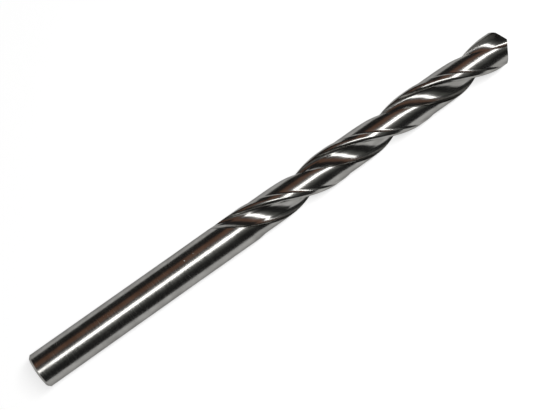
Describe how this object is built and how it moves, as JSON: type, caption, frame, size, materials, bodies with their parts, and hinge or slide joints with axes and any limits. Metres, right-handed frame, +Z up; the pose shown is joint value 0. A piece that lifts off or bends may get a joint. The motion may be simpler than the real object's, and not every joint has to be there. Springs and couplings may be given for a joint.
{
  "type": "twist drill bit",
  "caption": "Right-hand jobber-length twist drill bit of ground high-speed steel, with a straight shank, helical flutes, raised margins and a ground point.",
  "frame": {"origin": "on the ground that the drill lies on, under the middle of its length and of its width", "axes": "+X along the drill from the shank to the point, +Z up"},
  "size_m": [0.109, 0.007, 0.007],
  "materials": {
    "high_speed_steel": "bright, fine ground and polished"
  },
  "bodies": {
    "root": {"twist_drill": "high_speed_steel"}
  },
  "joints": []
}
